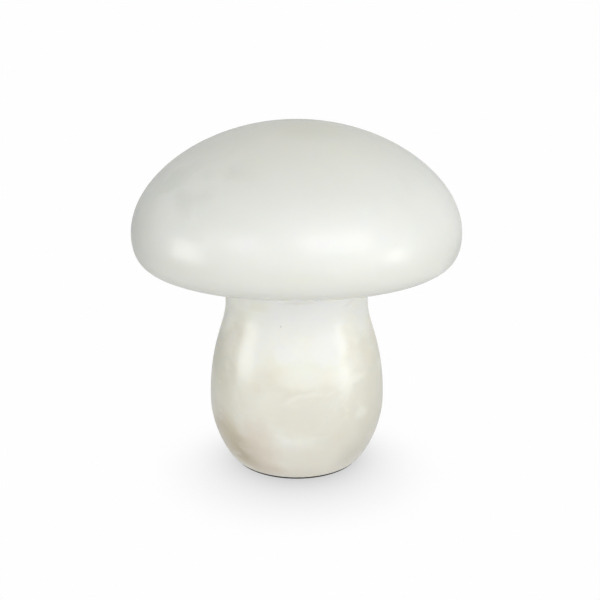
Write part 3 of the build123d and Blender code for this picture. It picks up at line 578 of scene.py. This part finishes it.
# Dull and bright tone, least and most roughness, and tool marks
METALS = {
    "plate_aluminium": ((0.74, 0.74, 0.74), (0.82, 0.82, 0.81), (0.34, 0.46), "turned"),
    "plate_steel": ((0.55, 0.56, 0.58), (0.68, 0.67, 0.62), (0.30, 0.44), None),
    "screw_steel": ((0.50, 0.51, 0.53), (0.63, 0.62, 0.57), (0.28, 0.40), None),
    "contact_nickel": ((0.68, 0.66, 0.61), (0.78, 0.77, 0.73), (0.14, 0.26), None),
    "standoff_brass": ((0.66, 0.50, 0.22), (0.82, 0.67, 0.34), (0.28, 0.38), "drawn"),
    "bezel_steel": ((0.60, 0.58, 0.55), (0.70, 0.68, 0.65), (0.28, 0.36), "brushed round"),
    "bush_nut_brass": ((0.64, 0.50, 0.25), (0.80, 0.67, 0.38), (0.28, 0.38), "brushed round"),
    "spring_steel": ((0.52, 0.52, 0.53), (0.66, 0.66, 0.66), (0.28, 0.36), "drawn"),
    "inlet_steel": ((0.64, 0.64, 0.64), (0.74, 0.74, 0.73), (0.18, 0.26), None),
}
MILKY = {"Subsurface_Radius": (1.0, 0.97, 0.9)}
# Dark and pale tone, least and most roughness, and what else is special
MOULDED = {
    "pad_rubber": (
        (0.022, 0.022, 0.022), (0.045, 0.044, 0.042), (0.75, 0.92),
        {"depth": 0.05 * MM},
    ),
    "gasket_rubber": ((0.025, 0.025, 0.025), (0.05, 0.05, 0.05), (0.55, 0.7), {}),
    "seat_rubber": (
        (0.72, 0.72, 0.69), (0.80, 0.80, 0.77), (0.40, 0.52),
        {"Subsurface_Weight": 0.6, "Subsurface_Scale": 2 * MM, **MILKY},
    ),
    "holder_plastic": (
        (0.78, 0.78, 0.76), (0.84, 0.84, 0.82), (0.42, 0.55),
        {"depth": 0.03 * MM},
    ),
    "chip_black": (
        (0.022, 0.022, 0.024), (0.045, 0.045, 0.045), (0.45, 0.6),
        {"grain": 5000},
    ),
    "socket_plastic": (
        (0.80, 0.77, 0.66), (0.87, 0.84, 0.75), (0.36, 0.48),
        {"grain": 4000},
    ),
    "opal_plastic": (
        (0.85, 0.85, 0.83), (0.90, 0.90, 0.88), (0.48, 0.58),
        {"Subsurface_Weight": 0.7, "Subsurface_Scale": 3 * MM, **MILKY, "grain": 3000},
    ),
    "lead_sleeve": (
        (0.76, 0.76, 0.74), (0.84, 0.84, 0.82), (0.45, 0.58),
        {"grain": 3000},
    ),
}
# Solder mask, the mask over a track, and the rim
BOARDS = {
    "board_green": ((0.02, 0.17, 0.08), (0.06, 0.30, 0.14), (0.50, 0.46, 0.28)),
    "board_white": ((0.86, 0.86, 0.84), (0.74, 0.74, 0.71), (0.70, 0.69, 0.62)),
}


def make_finishes():
    """One material for each material slot of the record."""
    made = {slot: metal(slot, *values) for slot, values in METALS.items()}
    for slot, (dark, pale, rough, special) in MOULDED.items():
        made[slot] = moulded(slot, dark, pale, rough, **special)
    for slot, tones in BOARDS.items():
        made[slot] = circuit_board(slot, *tones)
    made["led_phosphor"] = led_package()
    made["cell_sleeve"] = shrink_sleeve()
    made["band_fabric"] = woven_band()
    made["cap_stone"] = cap_stone()
    made["stem_stone"] = stem_stone()
    return made


def wear(name, material):
    """Put one material on a node."""
    slots = nodes[name].data.materials
    slots.clear()
    slots.append(material)
    for face in nodes[name].data.polygons:
        face.material_index = 0


# ---------------------------------------------------------------- the button's return spring

SPRING_WIRE = 0.5 * MM
SPRING_TURNS = 5
RINGS_PER_TURN = 36
WIRE_SIDES = 14


def coil_mesh(low, high):
    """Closed wire that winds along y and fills the box."""
    middle = (low + high) / 2
    radius = (high.x - low.x - SPRING_WIRE) / 2
    start = high.y - SPRING_WIRE / 2
    slope = (low.y + SPRING_WIRE / 2 - start) / (2 * math.pi * SPRING_TURNS)
    wire = bmesh.new()
    rings = []
    for step in range(SPRING_TURNS * RINGS_PER_TURN + 1):
        turn = 2 * math.pi * step / RINGS_PER_TURN
        outward = Vector((math.cos(turn), 0, math.sin(turn)))
        along = Vector((-radius * math.sin(turn), slope, radius * math.cos(turn))).normalized()
        across = along.cross(outward)
        centre = Vector((middle.x, start + slope * turn, middle.z)) + outward * radius
        ring = []
        for side in range(WIRE_SIDES):
            angle = 2 * math.pi * side / WIRE_SIDES
            rim = outward * math.cos(angle) + across * math.sin(angle)
            ring.append(wire.verts.new(centre + rim * SPRING_WIRE / 2))
        rings.append(ring)
    for this, following in zip(rings, rings[1:]):
        for i in range(WIRE_SIDES):
            j = (i + 1) % WIRE_SIDES
            wire.faces.new((this[i], this[j], following[j], following[i])).smooth = True
    wire.faces.new(rings[0])
    wire.faces.new(rings[-1])
    bmesh.ops.recalc_face_normals(wire, faces=wire.faces)
    mesh = bpy.data.meshes.new("return_spring")
    wire.to_mesh(mesh)
    wire.free()
    return mesh


def add_spring(material):
    """Coil that stands for the solid spring. The real spring closes up as the button goes in."""
    low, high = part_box("button_spring")
    mesh = coil_mesh(low, high)
    mesh.materials.append(material)
    spring = bpy.data.objects.new("return_spring", mesh)
    scene.collection.objects.link(spring)
    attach(spring, "base")
    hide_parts("button_spring")
    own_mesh(spring)


# ---------------------------------------------------------------- room

WHITE = 0.991  # of the background and the open floor
ROOM_COLOUR = (0.797, 0.806, 0.797, 1)  # of the glows

# Soft glows of the room round the lamp: azimuth (0 is the camera's side, 90 the right),
# elevation, the angle at which a glow has faded out, and its strength
GLOWS = {
    "front wide": (0, 10, 100, 0.78),
    "left low": (-60, -10, 50, 0.28),
    "right low": (60, -10, 50, 0.66),
    "above": (0, 90, 60, 0.33),
    "below": (0, -90, 90, 0.90),
    "behind left": (-145, 20, 90, 0.22),
    "behind right": (145, 20, 90, 0.64),
}


def direction(azimuth, elevation):
    """Unit vector from the lamp, for angles in degrees."""
    a, e = math.radians(azimuth), math.radians(elevation)
    return Vector((math.sin(a) * math.cos(e), -math.cos(a) * math.cos(e), math.sin(e)))


def add_room():
    """White where the camera sees past the floor; the lamp itself is lit by soft glows."""
    world = bpy.data.worlds.new("studio")
    scene.world = world
    world.use_nodes = True
    room = Nodes(world.node_tree)
    towards = room.node("ShaderNodeTexCoord").outputs["Generated"]
    total = 0.0
    for azimuth, elevation, reach, strength in GLOWS.values():
        facing = room.number("DOT_PRODUCT", towards, direction(azimuth, elevation))
        glow = room.ramp(facing, math.cos(math.radians(reach)), 1.0)
        total = room.math("ADD", room.math("MULTIPLY", glow, strength), total)
    lit = room.node("ShaderNodeBackground", {"Color": ROOM_COLOUR, "Strength": total})
    seen = room.node("ShaderNodeBackground", {"Color": (WHITE, WHITE, WHITE, 1)})
    room.show(lit, seen, "ShaderNodeOutputWorld")


# ---------------------------------------------------------------- floor

TABLE_RADIUS = 0.27
TABLE_CORNERS = 96
FLOOR_GLOW = (0.67, 0.58)  # light that the table sends up, close to the lamp and further out
GLOW_CHANGE = (0.05, 0.13)  # how far from the middle the one gives way to the other
SHADOW_REACH = 0.09  # how far from the floor the lamp still shades it
SHADOW_LEAN = math.radians(25)  # more light comes from behind, so the shade falls forwards
SHADOW_RAYS = 16
DARKEST = 0.55  # of the floor right under the lamp
OPEN = 0.84  # share of open sky from which the floor is white


def floor_material():
    """White that the lamp shades for the camera, and a soft glow for the lamp."""
    material = bpy.data.materials.new("floor")
    material.use_nodes = True
    shader = Nodes(material.node_tree)
    away = shader.number("LENGTH", shader.node("ShaderNodeTexCoord").outputs["Object"])
    glow = shader.ramp(away, *GLOW_CHANGE, *FLOOR_GLOW)
    lean = {"Y": math.sin(SHADOW_LEAN), "Z": math.cos(SHADOW_LEAN)}
    lean = shader.node("ShaderNodeCombineXYZ", lean).outputs[0]
    sky = {"Distance": SHADOW_REACH, "Normal": lean}
    sky = shader.node("ShaderNodeAmbientOcclusion", sky, samples=SHADOW_RAYS).outputs["AO"]
    shade = shader.ramp(sky, 0.0, OPEN, DARKEST, WHITE, smooth=False)
    lit = shader.node("ShaderNodeEmission", {"Strength": glow})
    seen = shader.node("ShaderNodeEmission", {"Strength": shade})
    shader.show(lit, seen, "ShaderNodeOutputMaterial")
    return material


def add_floor():
    """Pale table that the lamp stands on, which fades into the white behind."""
    turns = [2 * math.pi * i / TABLE_CORNERS for i in range(TABLE_CORNERS)]
    corners = [(TABLE_RADIUS * math.cos(turn), TABLE_RADIUS * math.sin(turn), 0) for turn in turns]
    mesh = bpy.data.meshes.new("floor")
    mesh.from_pydata(corners, [], [tuple(range(TABLE_CORNERS))])
    mesh.materials.append(floor_material())
    floor = bpy.data.objects.new("floor", mesh)
    scene.collection.objects.link(floor)


# ---------------------------------------------------------------- lamps of the studio

SOFTBOX_COLOUR = (1.0, 0.995, 0.975)
LIGHT_AIM = Vector((0, 0, 0.12))

# Azimuth in degrees, distance, height of the middle, width and height in metres, and watts
SOFTBOXES = {
    "left softbox": (-72, 1.0, 0.17, 0.48, 0.44, 1.30),
    "left bulb": (-74, 1.0, 0.17, 0.18, 0.26, 0.20),  # brighter middle of the box
    "right softbox": (59, 1.0, 0.14, 0.62, 0.40, 0.25),
    "right bulb": (65, 1.0, 0.12, 0.24, 0.28, 0.52),
    "key softbox": (27, 1.1, 0.66, 1.00, 0.50, 3.0),
    "high softbox": (25, 1.1, 1.05, 1.20, 0.55, 0.95),
    "fill softbox": (-40, 1.1, 0.65, 0.90, 0.45, 1.05),
}


def add_softboxes():
    """Area lights round the lamp, all aimed at its middle."""
    for name, (azimuth, distance, middle, width, height, watts) in SOFTBOXES.items():
        place = direction(azimuth, 0) * distance + Vector((0, 0, middle))
        data = bpy.data.lights.new(name, "AREA")
        data.shape = "RECTANGLE"
        data.size, data.size_y = width, height
        data.energy = watts
        data.color = SOFTBOX_COLOUR
        box = bpy.data.objects.new(name, data)
        box.location = place
        box.rotation_euler = (place - LIGHT_AIM).to_track_quat("Z", "Y").to_euler()
        box.visible_camera = False
        scene.collection.objects.link(box)


# ---------------------------------------------------------------- putting it together

add_camera()
add_floor()
add_room()
add_softboxes()
scene.view_settings.view_transform = "Standard"
finishes = make_finishes()
for row in frame["record"]["subparts"]:
    wear(row["node"], finishes[row["material_slot"]])
add_spring(finishes["spring_steel"])
